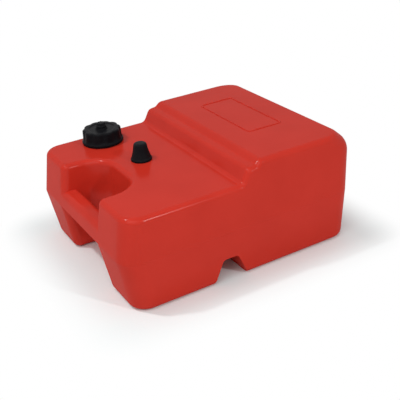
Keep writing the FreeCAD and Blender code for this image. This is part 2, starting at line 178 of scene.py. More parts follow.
class Sheet:
    """A material while it is made: its colour and its height gather layers."""

    def __init__(self, name: str) -> None:
        """Starts an empty material.

        Args:
            name: Material name.
        """
        self.material = bpy.data.materials.new(name)
        self.material.use_nodes = True
        self.tree = self.material.node_tree
        self.shader = self.tree.nodes["Principled BSDF"]
        self.place = add_node(self.tree, "ShaderNodeTexCoord").outputs["Object"]
        self.colour: NodeSocket | None = None
        self.height: NodeSocket | None = None

    def apart(self) -> Node:
        """Splits the place on the object into its coordinates.

        Returns:
            A node whose outputs are X, Y and Z, in metres.
        """
        return add_node(self.tree, "ShaderNodeSeparateXYZ", None, {"Vector": self.place})

    def ramp(self, value: NodeSocket, start: float, end: float,
             low: float = 0.0, high: float = 1.0) -> NodeSocket:
        """Spreads a value evenly from low to high and holds it there.

        Args:
            value: What is spread.
            start: Value that gives low.
            end: Value that gives high.
            low: Output at start.
            high: Output at end.

        Returns:
            The spread value.
        """
        spread = add_node(self.tree, "ShaderNodeMapRange",
                          {"From Min": start, "From Max": end, "To Min": low, "To Max": high},
                          {"Value": value})
        return spread.outputs["Result"]

    def speckle(self, size_mm: float, detail: float = 1.0, start: float = 0.0, end: float = 1.0,
                low: float = 0.0, high: float = 1.0) -> NodeSocket:
        """Noise of a real size, spread from low to high.

        Args:
            size_mm: Size of its features.
            detail: Number of finer layers.
            start: Noise value that gives low.
            end: Noise value that gives high.
            low: Output at start.
            high: Output at end.

        Returns:
            The pattern.
        """
        noise = add_node(self.tree, "ShaderNodeTexNoise",
                         {"Scale": 1 / (size_mm * MM), "Detail": detail}, {"Vector": self.place})
        return self.ramp(noise.outputs["Fac"], start, end, low, high)

    def wave(self, along: NodeSocket, pitch_mm: float) -> NodeSocket:
        """Even ripples along one direction.

        Args:
            along: Distance in that direction, in metres.
            pitch_mm: Their spacing.

        Returns:
            The pattern, from -1 to 1.
        """
        turns = maths(self.tree, "MULTIPLY", along, 2 * math.pi / (pitch_mm * MM))
        return maths(self.tree, "SINE", turns)

    def tint(self, share: NodeSocket, colour: str) -> None:
        """Lays a colour over what is there.

        Args:
            share: How much of it shows, from 0 to 1.
            colour: sRGB hex colour.
        """
        layer = add_node(self.tree, "ShaderNodeMix", {"data_type": "RGBA", "B": linear(colour)},
                         {"Factor": share, "A": self.colour})
        self.colour = layer.outputs["Result"]

    def emboss(self, pattern: NodeSocket, depth_mm: float) -> None:
        """Adds a pattern to the surface's height.

        Args:
            pattern: Its relief, in parts of its height.
            depth_mm: Its height.
        """
        layer = maths(self.tree, "MULTIPLY", pattern, depth_mm * MM)
        if self.height is not None:
            layer = maths(self.tree, "ADD", self.height, layer)
        self.height = layer


@dataclass(frozen=True)
class Finish:
    """A surface as its process leaves it: faint patches, uneven gloss and fine grain.

    Attributes:
        name: Material and process.
        colour: Main sRGB colour.
        patch: sRGB colour of its faint patches.
        roughness: Mean roughness.
        uneven: How far the roughness strays from it.
        uneven_mm: Size of the duller and glossier places.
        ior: Index of refraction.
        metallic: 1 for metals.
        gloss: Strength of the reflection, 0.5 for a clean surface.
        patch_mm: Size of the patches.
        grain_mm: Size of the fine grain.
        grain_depth_mm: Height of the fine grain.
        wave_mm: Size of the slow waves that cooling leaves.
        wave_depth_mm: Height of those waves.
        dust: Strength of the pale dust in the grain.
        dust_mm: Size of the dusty places.
        dust_colour: sRGB colour of the dust.
        translucence: Share of light that enters the plastic.
        glow_mm: How far that light spreads.
        skin: Strength of the smooth skin that a polished mould leaves over the grain.
        skin_roughness: Roughness of that skin.
    """

    name: str
    colour: str
    patch: str
    roughness: float
    uneven: float = 0.04
    uneven_mm: float = 8.0
    ior: float = 1.5
    metallic: float = 0.0
    gloss: float = 0.3
    patch_mm: float = 10.0
    grain_mm: float = 0.6
    grain_depth_mm: float = 0.02
    wave_mm: float = 40.0
    wave_depth_mm: float = 0.0
    dust: float = 0.0
    dust_mm: float = 2.2
    dust_colour: str = "7C7670"
    translucence: float = 0.0
    glow_mm: float = 2.0
    skin: float = 0.0
    skin_roughness: float = 0.19

    def make(self) -> Material:
        """Builds the material.

        Returns:
            The material.
        """
        sheet = Sheet(self.name.replace(" ", "_"))
        patches = sheet.speckle(self.patch_mm, detail=3.0, start=0.35, end=0.75)
        base = add_node(sheet.tree, "ShaderNodeMix",
                        {"data_type": "RGBA", "A": linear(self.colour), "B": linear(self.patch)},
                        {"Factor": patches})
        sheet.colour = base.outputs["Result"]
        sheet.emboss(sheet.speckle(self.grain_mm), self.grain_depth_mm)
        if self.wave_depth_mm:
            sheet.emboss(sheet.speckle(self.wave_mm), self.wave_depth_mm)
        if self.dust:
            dust = sheet.speckle(self.dust_mm, detail=6.0, start=0.55, end=0.75, high=self.dust)
            sheet.tint(dust, self.dust_colour)
        self.detail(sheet)
        self.close(sheet)
        return sheet.material

    def detail(self, sheet: Sheet) -> None:
        """Adds what this process alone leaves; a plain surface has nothing more.

        Args:
            sheet: The material.
        """

    def close(self, sheet: Sheet) -> None:
        """Joins the layers to the shader.

        Args:
            sheet: The material.
        """
        constants = {
            "Metallic": self.metallic,
            "IOR": self.ior,
            "Specular IOR Level": self.gloss,
            "Subsurface Weight": self.translucence,
            "Subsurface Scale": self.glow_mm * MM,
            "Coat Weight": self.skin,
            "Coat Roughness": self.skin_roughness,
            "Coat IOR": self.ior,
        }
        for name, value in constants.items():
            sheet.shader.inputs[name].default_value = value
        roughness = sheet.speckle(self.uneven_mm, detail=4.0, start=0.3, end=0.7,
                                  low=self.roughness - self.uneven,
                                  high=self.roughness + self.uneven)
        bump = add_node(sheet.tree, "ShaderNodeBump", {"Strength": 1.0, "Distance": 1.0},
                        {"Height": sheet.height})
        layers = {"Normal": bump.outputs["Normal"], "Base Color": sheet.colour,
                  "Roughness": roughness}
        for name, layer in layers.items():
            sheet.tree.links.new(layer, sheet.shader.inputs[name])


@dataclass(frozen=True)
class BlowMoulded(Finish):
    """Blow-moulded shell: a flash line where the mould halves met, and scuffs by the floor.

    Attributes:
        parting_mm: Height of the line.
        line_mm: Half its width at the foot.
        crest_mm: Half its width at the top.
        line_depth_mm: How far it stands out.
        scuff_reach_mm: How high the scuffs reach.
        scuff_full_mm: Height up to which they keep their full strength.
        scuff_mm: Size of the scuffs.
        scuff: Strength of the scuffs.
        scuff_colour: Their sRGB colour.
    """

    parting_mm: float = PARTING
    line_mm: float = 0.8
    crest_mm: float = 0.2
    line_depth_mm: float = 0.2
    scuff_reach_mm: float = 9.0
    scuff_full_mm: float = 1.0
    scuff_mm: float = 1.6
    scuff: float = 0.35
    scuff_colour: str = "D9705F"

    def detail(self, sheet: Sheet) -> None:
        """Adds the flash line and the scuffs.

        Args:
            sheet: The material.
        """
        height = sheet.apart().outputs["Z"]
        above = maths(sheet.tree, "SUBTRACT", height, self.parting_mm * MM)
        off = maths(sheet.tree, "ABSOLUTE", above)
        line = sheet.ramp(off, self.line_mm * MM, self.crest_mm * MM)
        sheet.emboss(line, self.line_depth_mm)
        low = sheet.ramp(height, self.scuff_reach_mm * MM, self.scuff_full_mm * MM)
        marks = sheet.speckle(self.scuff_mm, detail=5.0, start=0.6, end=0.68, high=self.scuff)
        sheet.tint(maths(sheet.tree, "MULTIPLY", low, marks), self.scuff_colour)


@dataclass(frozen=True)
class Turned(Finish):
    """Metal with fine rings about its upright axis, as a lathe or a drawing die leaves.

    Attributes:
        pitch_mm: Spacing of the rings.
        ring_depth_mm: Height of the rings.
    """

    pitch_mm: float = 0.4
    ring_depth_mm: float = 0.004

    def detail(self, sheet: Sheet) -> None:
        """Adds the rings.

        Args:
            sheet: The material.
        """
        sheet.emboss(sheet.wave(sheet.apart().outputs["Z"], self.pitch_mm), self.ring_depth_mm)


@dataclass(frozen=True)
class Woven(Finish):
    """Strainer cloth: threads round the sleeve and along it, with painted shade in the gaps
    between them.

    Attributes:
        pitch_mm: Spacing of the threads.
        thread_depth_mm: Height of the threads.
        painted_gap_shade: sRGB colour painted in the gaps as the shade seen through them.
    """

    pitch_mm: float = 0.5
    thread_depth_mm: float = 0.05
    painted_gap_shade: str = "3A3A38"

    def detail(self, sheet: Sheet) -> None:
        """Adds the weave and the painted shade in its gaps.

        Args:
            sheet: The material.
        """
        apart = sheet.apart()
        across = maths(sheet.tree, "ADD", apart.outputs["X"], apart.outputs["Y"])
        hoops, bars = (sheet.wave(way, self.pitch_mm) for way in (apart.outputs["Z"], across))
        weave = maths(sheet.tree, "MULTIPLY", hoops, bars)
        sheet.emboss(weave, self.thread_depth_mm)
        # Painted shade: the gaps between threads are darkened as if the dark inside showed through
        # them
        sheet.tint(sheet.ramp(weave, start=0.1, end=0.9), self.painted_gap_shade)


FINISHES: dict[Slot, Finish] = {
    # Polyethylene from a polished mould: satin, waxy, slightly wavy, with small clear glints
    Slot.SHELL: BlowMoulded(
        "blow moulded polyethylene", "C33023", "BD2D20", 0.36, ior=1.54, gloss=0.0, skin=0.2,
        patch_mm=70.0, grain_mm=3.0, grain_depth_mm=0.008, wave_mm=60.0, wave_depth_mm=0.2),
    # Polypropylene from a lightly sparked mould: dull black with dust in the grain
    Slot.CAP: Finish(
        "injection moulded polypropylene", "0F0F12", "121215", 0.42, ior=1.49, gloss=0.04,
        patch_mm=12.0, grain_mm=1.2, dust=0.03),
    # The same plastic, rubbed a little smoother by fingers
    Slot.KNOB: Finish(
        "handled polypropylene", "0F0F12", "121215", 0.4, ior=1.49, gloss=0.05,
        patch_mm=6.0, grain_mm=1.0, grain_depth_mm=0.015, dust=0.02),
    # Acetal rod: dark and close-grained
    Slot.STEM: Finish("acetal", "2A2A2B", "303032", 0.5, ior=1.48, patch_mm=4.0),
    # Polypropylene disc that stays clean inside the neck
    Slot.BAFFLE: Finish("grey polypropylene", "3B3B3C", "444446", 0.55, ior=1.49, patch_mm=8.0),
    # Glass-filled nylon: matt with a faint mottle
    Slot.ADAPTER: Finish("glass filled nylon", "242425", "2C2C2D", 0.5, ior=1.53, patch_mm=8.0),
    # Natural nylon tube: milky, light goes into it
    Slot.TUBE: Finish(
        "natural nylon", "DDD8C6", "D3CCB6", 0.32, ior=1.53, patch_mm=14.0, translucence=0.3),
    # Natural polyethylene cage: whiter and softer
    Slot.STRAINER: Finish(
        "natural polyethylene", "E4E2D8", "DCD8CA", 0.4, ior=1.54, patch_mm=9.0,
        translucence=0.2),
    # Fine steel cloth; the threads are drawn coarse enough to show
    Slot.SCREEN: Woven(
        "woven steel cloth", "A9AAA6", "9C9D98", 0.4, metallic=0.8, gloss=0.5, patch_mm=5.0),
    # Nitrile rubber: flat black
    Slot.SEAL: Finish("nitrile rubber", "161617", "1D1D1E", 0.7, ior=1.52, patch_mm=5.0),
    # Soft vinyl, dipped: dull, with dust held on it
    Slot.COVER: Finish(
        "dipped soft vinyl", "0F0F12", "111114", 0.5, ior=1.53, gloss=0.05, grain_mm=1.2,
        dust=0.03),
    # Spring steel: bright, drawn
    Slot.STEEL: Turned(
        "drawn spring steel", "B4B6B8", "A6A8AA", 0.28, metallic=1.0, gloss=0.5, patch_mm=4.0),
    # Free-cutting brass: warm, with tool rings
    Slot.BRASS: Turned(
        "turned brass", "C49A4A", "B38A3E", 0.26, metallic=1.0, gloss=0.5, patch_mm=5.0,
        pitch_mm=0.35),
}


# --- Shapes --------------------------------------------------------------------


@dataclass(frozen=True)
class Look:
    """Where a new piece belongs.

    Attributes:
        slot: Material slot it takes its finish from.
        body: Body it rides on.
        stands_for: CAD node that it replaces, if any.
        crease_deg: Edges sharper than this stay sharp.
    """

    slot: Slot
    body: Body
    stands_for: str = ""
    crease_deg: float = 40.0


@dataclass(frozen=True)
class Seat:
    """Where an upright round CAD node stands.

    Attributes:
        foot: Middle of its lowest level, in metres.
        radius: Its radius in millimetres.
        height: Its height in millimetres.
    """

    foot: Vector
    radius: float
    height: float

    @classmethod
    def of(cls, node: str) -> "Seat":
        """Measures a node.

        Args:
            node: Its name.

        Returns:
            Its seat.
        """
        low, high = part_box(node)
        foot = Vector(((low.x + high.x) / 2, (low.y + high.y) / 2, low.z))
        return cls(foot, (high.x - low.x) / 2 / MM, (high.z - low.z) / MM)


@dataclass(frozen=True)
class Thread:
    """A coarse screw thread, in millimetres.

    Attributes:
        wall: Radius of the wall that it stands on.
        depth: How far it stands out, or in if negative.
        start: Height of its lower end.
        turns: Number of turns.
        pitch: Rise in one turn.
        root: Its width on the wall.
        crest: Its width at the top.
        sunk: How far its root lies within the wall.
        ease: Each end runs out over one part in this many of its length.
        columns: Number of columns in one turn.
    """

    wall: float
    depth: float
    start: float
    turns: float
    pitch: float = 5.0
    root: float = 2.6
    crest: float = 1.2
    sunk: float = 0.1
    ease: int = 10
    columns: int = 96


class Workshop:
    """Makes pieces, gives them their material and seats them on their body."""

    def __init__(self) -> None:
        """Makes every finish once."""
        self.materials = {slot: finish.make() for slot, finish in FINISHES.items()}

    def paint_cad_nodes(self) -> None:
        """Gives every CAD node the material of its slot."""
        slots = {row["node"]: row["material_slot"] for row in frame["record"]["subparts"]}
        for node, thing in frame["nodes"].items():
            thing.data.materials.clear()
            thing.data.materials.append(self.materials[Slot(slots[node])])

    def finish(self, name: str, form: BMesh, look: Look) -> Object:
        """Turns a shape into a piece of the object.

        Args:
            name: Piece name.
            form: Its shape, already in place, which is freed.
            look: Where it belongs.

        Returns:
            The piece.
        """
        mesh = bpy.data.meshes.new(name)
        form.to_mesh(mesh)
        form.free()
        if mesh.has_custom_normals:
            mesh.attributes.remove(mesh.attributes["custom_normal"])
        piece = bpy.data.objects.new(name, mesh)
        bpy.context.scene.collection.objects.link(piece)
        mesh.materials.append(self.materials[look.slot])
        mesh.shade_smooth()
        mesh.set_sharp_from_angle(angle=math.radians(look.crease_deg))
        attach(piece, look.body.value)
        if look.stands_for:
            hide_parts(look.stands_for)
        log.info("%s: %d faces", name, len(mesh.polygons))
        return piece


def close(form: BMesh) -> None:
    """Merges a new shape's seams and turns its faces outwards.

    Args:
        form: The shape.
    """
    bmesh.ops.remove_doubles(form, verts=form.verts, dist=WELD * MM)
    on_axis = [edge for edge in form.edges if not edge.link_faces]
    bmesh.ops.delete(form, geom=on_axis, context="EDGES")
    bmesh.ops.recalc_face_normals(form, faces=form.faces)


def soften(form: BMesh, parts: Sequence[BMVert | BMEdge], rounding: float, affect: str,
           segments: int = 6) -> None:
    """Rounds corners or edges.

    Args:
        form: The shape.
        parts: Its corners or edges.
        rounding: Distance over which they are rounded, in millimetres.
        affect: VERTICES for corners, EDGES for edges.
        segments: Number of steps across each.
    """
    bmesh.ops.bevel(form, geom=parts, offset=rounding * MM, offset_type="OFFSET",
                    segments=segments, profile=0.5, affect=affect, material=-1)


def spun(profile: Sequence[tuple[float, float, float]], foot: Vector, steps: int) -> BMesh:
    """Spins a closed profile about an upright axis.

    Args:
        profile: Radius, height and corner rounding of each point, in millimetres.
        foot: Point on the axis at height 0, in metres.
        steps: Number of columns.

    Returns:
        The shape.
    """
    form = bmesh.new()
    corners = [form.verts.new(foot + Vector((radius, 0, height)) * MM)
               for radius, height, _ in profile]
    for corner, following in zip(corners, corners[1:] + corners[:1]):
        form.edges.new((corner, following))
    for corner, (_, _, rounding) in zip(corners, profile):
        if rounding:
            soften(form, [corner], rounding, "VERTICES")
    outline = list(form.verts) + list(form.edges)
    bmesh.ops.spin(form, geom=outline, cent=foot, axis=UP, angle=2 * math.pi, steps=steps,
                   use_merge=True)
    close(form)
    return form


RadiusRule = Callable[[float, float, float], float]


def reshape(form: BMesh, foot: Vector, rule: RadiusRule) -> None:
    """Moves every point in or out from the axis.

    Args:
        form: The shape.
        foot: Point on the axis at height 0, in metres.
        rule: New radius from radius and height in millimetres and the angle.
    """
    for vertex in form.verts:
        offset = vertex.co - foot
        radius = math.hypot(offset.x, offset.y) / MM
        if radius > 0:
            share = rule(radius, offset.z / MM, math.atan2(offset.y, offset.x)) / radius
            vertex.co = foot + Vector((offset.x * share, offset.y * share, offset.z))


def valley(count: int, angle: float) -> float:
    """Even valleys round an axis.

    Args:
        count: Number of valleys.
        angle: Angle about the axis, in radians.

    Returns:
        1 at the bottom of a valley and 0 on a crest.
    """
    return 0.5 + 0.5 * math.cos(count * angle)


def wound(thread: Thread, foot: Vector) -> BMesh:
    """Winds a thread whose ends run out into the wall.

    Args:
        thread: Its sizes.
        foot: Point on the axis at height 0, in metres.

    Returns:
        The shape.
    """
    form = bmesh.new()
    inside = -thread.sunk * math.copysign(1.0, thread.depth)
    rise = thread.pitch * thread.turns
    corners = ((inside, -thread.root / 2), (thread.depth, -thread.crest / 2),
               (thread.depth, thread.crest / 2), (inside, thread.root / 2))
    verts = [form.verts.new(foot + Vector((thread.wall + out, 0, thread.start + up)) * MM)
             for out, up in corners]
    section = form.faces.new(verts)
    steps = int(thread.columns * thread.turns)
    bmesh.ops.spin(form, geom=[section], cent=foot, axis=UP, dvec=UP * (rise * MM / steps),
                   angle=2 * math.pi * thread.turns, steps=steps)

    def run_out(radius: float, height: float, _angle: float) -> float:
        """The crest sinks into the wall at both ends; the root stays.

        Args:
            radius: Radius of a point in millimetres.
            height: Its height above the foot in millimetres.
            _angle: Its angle, which makes no difference here.

        Returns:
            Its new radius.
        """
        if abs(radius - thread.wall) <= 2 * thread.sunk:
            return radius
        along = (height - thread.start) / rise
        share = max(0.0, min(1.0, along * thread.ease, (1 - along) * thread.ease))
        return thread.wall + (radius - thread.wall) * share

    reshape(form, foot, run_out)
    close(form)
    return form


# --- Sub-assemblies --------------------------------------------------------------


@dataclass(frozen=True)
class Shell:
    """The moulded shell, its neck and the plain border on its rear deck, in millimetres.

    Attributes:
        workshop: Finishes the pieces.
        parting: Height at which the mould halves meet.
        crease: Half the height of the soft crease there.
        sliver: Edges shorter than this are closed up.
        flatness: How much flat walls outweigh their roundings in the shading, from 1 to 100.
        border_start: Front of the border, behind the front of the tank.
        border_end: Back of the border.
        border_left: Its low side across the tank.
        border_right: Its high side across the tank.
        border_corner: Rounding of its corners.
        border_width: Width of its raised line.
        border_proud: Height of its raised line.
        border_round: Rounding of the line's edges.
        neck_bore: Radius of the filler neck's bore.
        neck_lip: Rounding of its lip.
        neck_thread: Its screw thread.
    """

    workshop: Workshop
    parting: float = PARTING
    crease: float = 4.0
    sliver: float = 0.02
    flatness: int = 100
    border_start: float = 302.0
    border_end: float = 373.0
    border_left: float = -69.0
    border_right: float = 97.0
    border_corner: float = 7.0
    border_width: float = 3.8
    border_proud: float = 1.3
    border_round: float = 1.1
    neck_bore: float = 23.5
    neck_lip: float = 0.8
    neck_thread: Thread = Thread(wall=27.0, depth=0.9, start=2.6, turns=1.2)

    def make(self) -> None:
        """Builds all pieces of the shell."""
        self.body()
        self.neck()
        self.border()

    def body(self) -> None:
        """The shell's own form, with flat walls kept flat and a soft crease at mid height."""
        form = bmesh.new()
        form.from_mesh(frame["nodes"]["tank_shell"].data)
        bmesh.ops.remove_doubles(form, verts=form.verts, dist=WELD * MM)
        bmesh.ops.dissolve_degenerate(form, edges=form.edges, dist=self.sliver * MM)
        for side in (-1, 1):
            height = self.parting + side * self.crease
            whole = form.verts[:] + form.edges[:] + form.faces[:]
            bmesh.ops.bisect_plane(form, geom=whole, dist=WELD * MM, plane_co=UP * height * MM,
                                   plane_no=UP)
        look = Look(Slot.SHELL, Body.TANK, "tank_shell", crease_deg=30.0)
        piece = self.workshop.finish("tank_body", form, look)
        weighted = piece.modifiers.new("flat_faces", "WEIGHTED_NORMAL")
        weighted.keep_sharp = True
        weighted.weight = self.flatness

    def neck(self) -> None:
        """The filler neck with its rounded lip and coarse thread."""
        seat = Seat.of("filler_neck")
        profile = ((self.neck_bore, 0.0, 0.0), (seat.radius, 0.0, 0.0),
                   (seat.radius, seat.height, self.neck_lip),
                   (self.neck_bore, seat.height, self.neck_lip))
        look = Look(Slot.SHELL, Body.TANK, "filler_neck")
        self.workshop.finish("neck", spun(profile, seat.foot, steps=128), look)
        thread = wound(self.neck_thread, seat.foot)
        self.workshop.finish("neck_thread", thread, Look(Slot.SHELL, Body.TANK))

    def border(self) -> None:
        """A plain raised border on the rear deck."""
        low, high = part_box("tank_shell")
        form = bmesh.new()
        corners = ((self.border_start, self.border_left), (self.border_end, self.border_left),
                   (self.border_end, self.border_right), (self.border_start, self.border_right))
        verts = [form.verts.new(Vector((low.x + x * MM, y * MM, high.z))) for x, y in corners]
        form.faces.new(verts)
        soften(form, verts, self.border_corner, "VERTICES", segments=8)
        plate = form.faces[:][0]
        line = bmesh.ops.inset_individual(form, faces=[plate], thickness=self.border_width * MM,
                                          use_even_offset=True)["faces"]
        bmesh.ops.delete(form, geom=[plate], context="FACES_ONLY")
        risen = bmesh.ops.extrude_face_region(form, geom=line)["geom"]
        top = [part for part in risen if isinstance(part, BMFace)]
        moved = {vertex for face in top for vertex in face.verts}
        bmesh.ops.translate(form, verts=list(moved), vec=UP * self.border_proud * MM)
        edges = {edge for face in top for edge in face.edges
                 if not all(side in top for side in edge.link_faces)}
        soften(form, list(edges), self.border_round, "EDGES", segments=3)
        close(form)
        self.workshop.finish("roof_border", form, Look(Slot.SHELL, Body.TANK))


@dataclass(frozen=True)
class FillerCap:
    """The screw cap of the filler neck, in millimetres.

    Attributes:
        workshop: Finishes the pieces.
        skirt: Height of the skirt.
        flare: Radius and height at which the flare over the skirt ends.
        grip: Radius of the grip at its foot.
        grip_foot: Height of that foot.
        rim: Inner radius of the flat top.
        inside: Radius inside the skirt.
        hollow: Radius of the space over the neck.
        seat_height: Height of the gasket's seat above the skirt's foot.
        ceiling: Height of the hollow's top.
        boss: Radius of the boss round the vent stem.
        boss_depth: How far it hangs below the ceiling.
        stem_hole: Radius of the hole for the vent stem.
        collar: Radius of the raised collar under the knob.
        collar_height: Its height above the grip's flat top.
        dish: Radius of the shallow dish round the collar.
        dish_depth: Its depth.
        lobes: Number of grip lobes.
        lobe_depth: Depth of the valleys between them.
        lobe_foot: Height at which the valleys begin.
        lobe_rise: Height over which they deepen.
        lobe_end: Radius at which they have run out on the flat top.
        lobe_fade: Distance over which they run out there.
        lobe_power: How narrow they are.
        thread: Screw thread inside the skirt.
    """

    workshop: Workshop
    skirt: float = 4.4
    flare: tuple[float, float] = (36.1, 6.0)
    grip: float = 35.0
    grip_foot: float = 9.0
    rim: float = 23.8
    inside: float = 29.0
    hollow: float = 24.5
    seat_height: float = 12.5
    ceiling: float = 21.0
    boss: float = 8.0
    boss_depth: float = 5.5
    stem_hole: float = 3.05
    collar: float = 10.5
    collar_height: float = 2.0
    dish: float = 23.0
    dish_depth: float = 1.0
    lobes: int = 10
    lobe_depth: float = 2.4
    lobe_foot: float = 4.8
    lobe_rise: float = 9.0
    lobe_end: float = 25.0
    lobe_fade: float = 5.0
    lobe_power: float = 1.8
    thread: Thread = Thread(wall=29.0, depth=-0.9, start=2.2, turns=1.5)

    def make(self) -> None:
        """Builds the lobed cap, whose grip flares into a skirt, and its thread."""
        seat = Seat.of("cap_body")
        top = seat.height - self.collar_height
        crown = top + self.collar_height
        dish = top - self.dish_depth
        boss_foot = self.ceiling - self.boss_depth
        profile = (
            # Skirt and the flare above it
            (seat.radius, 0.0, 1.2), (seat.radius, self.skirt, 1.2), (*self.flare, 1.0),
            # Grip, its flat top and the dish in it
            (self.grip + 0.2, self.grip_foot, 1.0), (self.grip - 0.4, top, 3.0),
            (self.rim, top, 0.8), (self.dish, dish, 0.5), (self.collar + 0.6, dish, 0.4),
            # Collar and the hole for the stem
            (self.collar - 0.3, crown, 0.6), (self.stem_hole, crown, 0.0),
            (self.stem_hole, boss_foot, 0.0),
            # Boss, hollow over the neck and the skirt's inside
            (self.boss, boss_foot, 0.5), (self.boss, self.ceiling, 0.0),
            (self.hollow, self.ceiling, 0.0), (self.hollow, self.seat_height, 0.3),
            (self.inside, self.seat_height, 0.0), (self.inside, 0.0, 0.6),
        )
        form = spun(profile, seat.foot, steps=200)

        def lobed(radius: float, height: float, angle: float) -> float:
            """Grip lobes fade into the skirt below and the flat top above; the inside stays round.

            Args:
                radius: Radius of a point.
                height: Its height above the foot.
                angle: Its angle in radians.

            Returns:
                Its new radius.
            """
            within = radius < self.inside + 0.1 and height < top - 2.0
            if within or height < self.lobe_foot:
                return radius
            rise = min(1.0, (height - self.lobe_foot) / self.lobe_rise)
            fade = min(1.0, max(0.0, (radius - self.lobe_end) / self.lobe_fade))
            depth = valley(self.lobes, angle) ** self.lobe_power
            return radius - self.lobe_depth * rise * fade * depth

        reshape(form, seat.foot, lobed)
        look = Look(Slot.CAP, Body.CAP, "cap_body", crease_deg=50.0)
        self.workshop.finish("filler_cap", form, look)
        thread = wound(self.thread, seat.foot)
        self.workshop.finish("cap_thread", thread, Look(Slot.CAP, Body.CAP))


@dataclass(frozen=True)
class VentKnob:
    """The thumb knob of the cap's vent, in millimetres.

    Attributes:
        workshop: Finishes the piece.
        hole: Radius and depth of the hole for the stem.
        groove: Inner and outer radius of the sealing ring's groove.
        groove_depth: Its depth.
        flange: Radius and height of the flange.
        side: Radius of the fluted side, at its foot and at its top.
        dish: Radius of the dish in the top, at its rim and at its bottom.
        dish_depth: Its depth.
        flutes: Number of flutes.
        flute_depth: Their depth.
        flute_foot: Height at which they begin.
        flute_rise: Height over which they deepen.
        flute_power: How narrow they are.
    """

    workshop: Workshop
    hole: tuple[float, float] = (3.0, 5.5)
    groove: tuple[float, float] = (5.4, 7.6)
    groove_depth: float = 2.0
    flange: tuple[float, float] = (9.4, 2.8)
    side: tuple[float, float] = (8.6, 7.7)
    dish: tuple[float, float] = (4.4, 3.8)
    dish_depth: float = 0.5
    flutes: int = 8
    flute_depth: float = 1.3
    flute_foot: float = 2.9
    flute_rise: float = 1.2
    flute_power: float = 2.0

    def make(self) -> None:
        """Builds the fluted knob with the sealing ring's groove under it."""
        seat = Seat.of("vent_knob")
        top = seat.height
        dish = top - self.dish_depth
        hole, hole_depth = self.hole
        inner, outer = self.groove
        flange, flange_height = self.flange
        profile = (
            # Foot with the groove in it
            (hole, 0.0, 0.0), (inner, 0.0, 0.0), (inner, self.groove_depth, 0.0),
            (outer, self.groove_depth, 0.0), (outer, 0.0, 0.0),
            # Flange, fluted side and the top with its dish
            (flange, 0.0, 0.3), (flange, flange_height, 0.6),
            (self.side[0], flange_height + 0.6, 0.4), (self.side[1], top, 1.6),
            (self.dish[0], top, 0.5), (self.dish[1], dish, 0.4), (0.0, dish, 0.0),
            # Hole for the stem
            (0.0, hole_depth, 0.0), (hole, hole_depth, 0.0),
        )
        form = spun(profile, seat.foot, steps=128)

        def fluted(radius: float, height: float, angle: float) -> float:
            """Flutes run up the knob's side; its foot and its hole stay round.

            Args:
                radius: Radius of a point.
                height: Its height above the foot.
                angle: Its angle in radians.

            Returns:
                Its new radius.
            """
            if radius < inner + 0.1 or height < self.flute_foot:
                return radius
            rise = min(1.0, (height - self.flute_foot) / self.flute_rise)
            depth = valley(self.flutes, angle) ** self.flute_power
            return radius - self.flute_depth * rise * depth

        reshape(form, seat.foot, fluted)
        look = Look(Slot.KNOB, Body.VENT, "vent_knob", crease_deg=50.0)
        self.workshop.finish("vent_thumb_knob", form, look)


@dataclass(frozen=True)
class DustCover:
    """The soft conical dust cover, in millimetres.

    Attributes:
        workshop: Finishes the piece.
        wall: Its thickness.
        rim_height: Height of the bead at its foot.
        waist: Radius where the bead ends.
        middle: Radius halfway up.
        neck: Radius under the rounded top.
        top_round: Rounding of the top.
    """

    workshop: Workshop
    wall: float = 1.6
    rim_height: float = 4.4
    waist: float = 16.8
    middle: float = 13.4
    neck: float = 10.9
    top_round: float = 3.2

    def make(self) -> None:
        """Builds the cover."""
        seat = Seat.of("dust_cover")
        top = seat.height
        rim = self.rim_height
        ceiling = top - self.wall
        profile = (
            # Outside, from the bead to the top
            (seat.radius, 0.0, 1.0), (seat.radius, rim - 0.8, 1.0), (self.waist, rim + 1.2, 0.8),
            (self.middle, top * 0.55, 3.0), (self.neck, top, self.top_round), (0.0, top, 0.0),
            # Inside, back down to the foot
            (0.0, ceiling, 0.0), (self.neck - self.wall - 0.6, ceiling, 2.0),
            (self.middle - self.wall, top * 0.53, 2.0), (self.waist - self.wall, rim + 1.0, 0.5),
            (seat.radius - self.wall, rim - 2.0, 0.5), (seat.radius - self.wall, 0.0, 0.3),
        )
        look = Look(Slot.COVER, Body.COVER, "dust_cover", crease_deg=50.0)
        self.workshop.finish("rubber_cover", spun(profile, seat.foot, steps=96), look)


@dataclass(frozen=True)
class ValveSpring:
    """The light spring that presses the pick-up valve's poppet on its seat.

    Attributes:
        workshop: Finishes the piece.
        coils: Number of turns.
        columns: Number of columns in one turn.
        wire: Radius of its wire in millimetres.
        wire_sides: Sides of the wire's section.
        joint: Joint that shortens the real spring; not used.
    """

    workshop: Workshop
    coils: int = 4
    columns: int = 36
    wire: float = 0.3
    wire_sides: int = 10
    joint: str = "poppet_lift"

    def make(self) -> None:
        """Winds the spring."""
        seat = Seat.of("check_spring")
        rise = (seat.height - 2 * self.wire) * MM
        form = bmesh.new()
        section = bmesh.ops.create_circle(form, cap_ends=True, segments=self.wire_sides,
                                          radius=self.wire * MM)["verts"]
        bmesh.ops.rotate(form, verts=section, matrix=Matrix.Rotation(math.pi / 2, 3, "X"))
        start = seat.foot + Vector((seat.radius - self.wire, 0, self.wire)) * MM
        bmesh.ops.translate(form, verts=section, vec=start)
        steps = self.columns * self.coils
        bmesh.ops.spin(form, geom=form.faces[:], cent=seat.foot, axis=UP,
                       dvec=UP * (rise / steps), angle=2 * math.pi * self.coils, steps=steps)
        close(form)
        look = Look(Slot.STEEL, Body.TANK, "check_spring")
        piece = self.workshop.finish("valve_spring", form, look)
        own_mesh(piece)


# --- Studio ----------------------------------------------------------------------


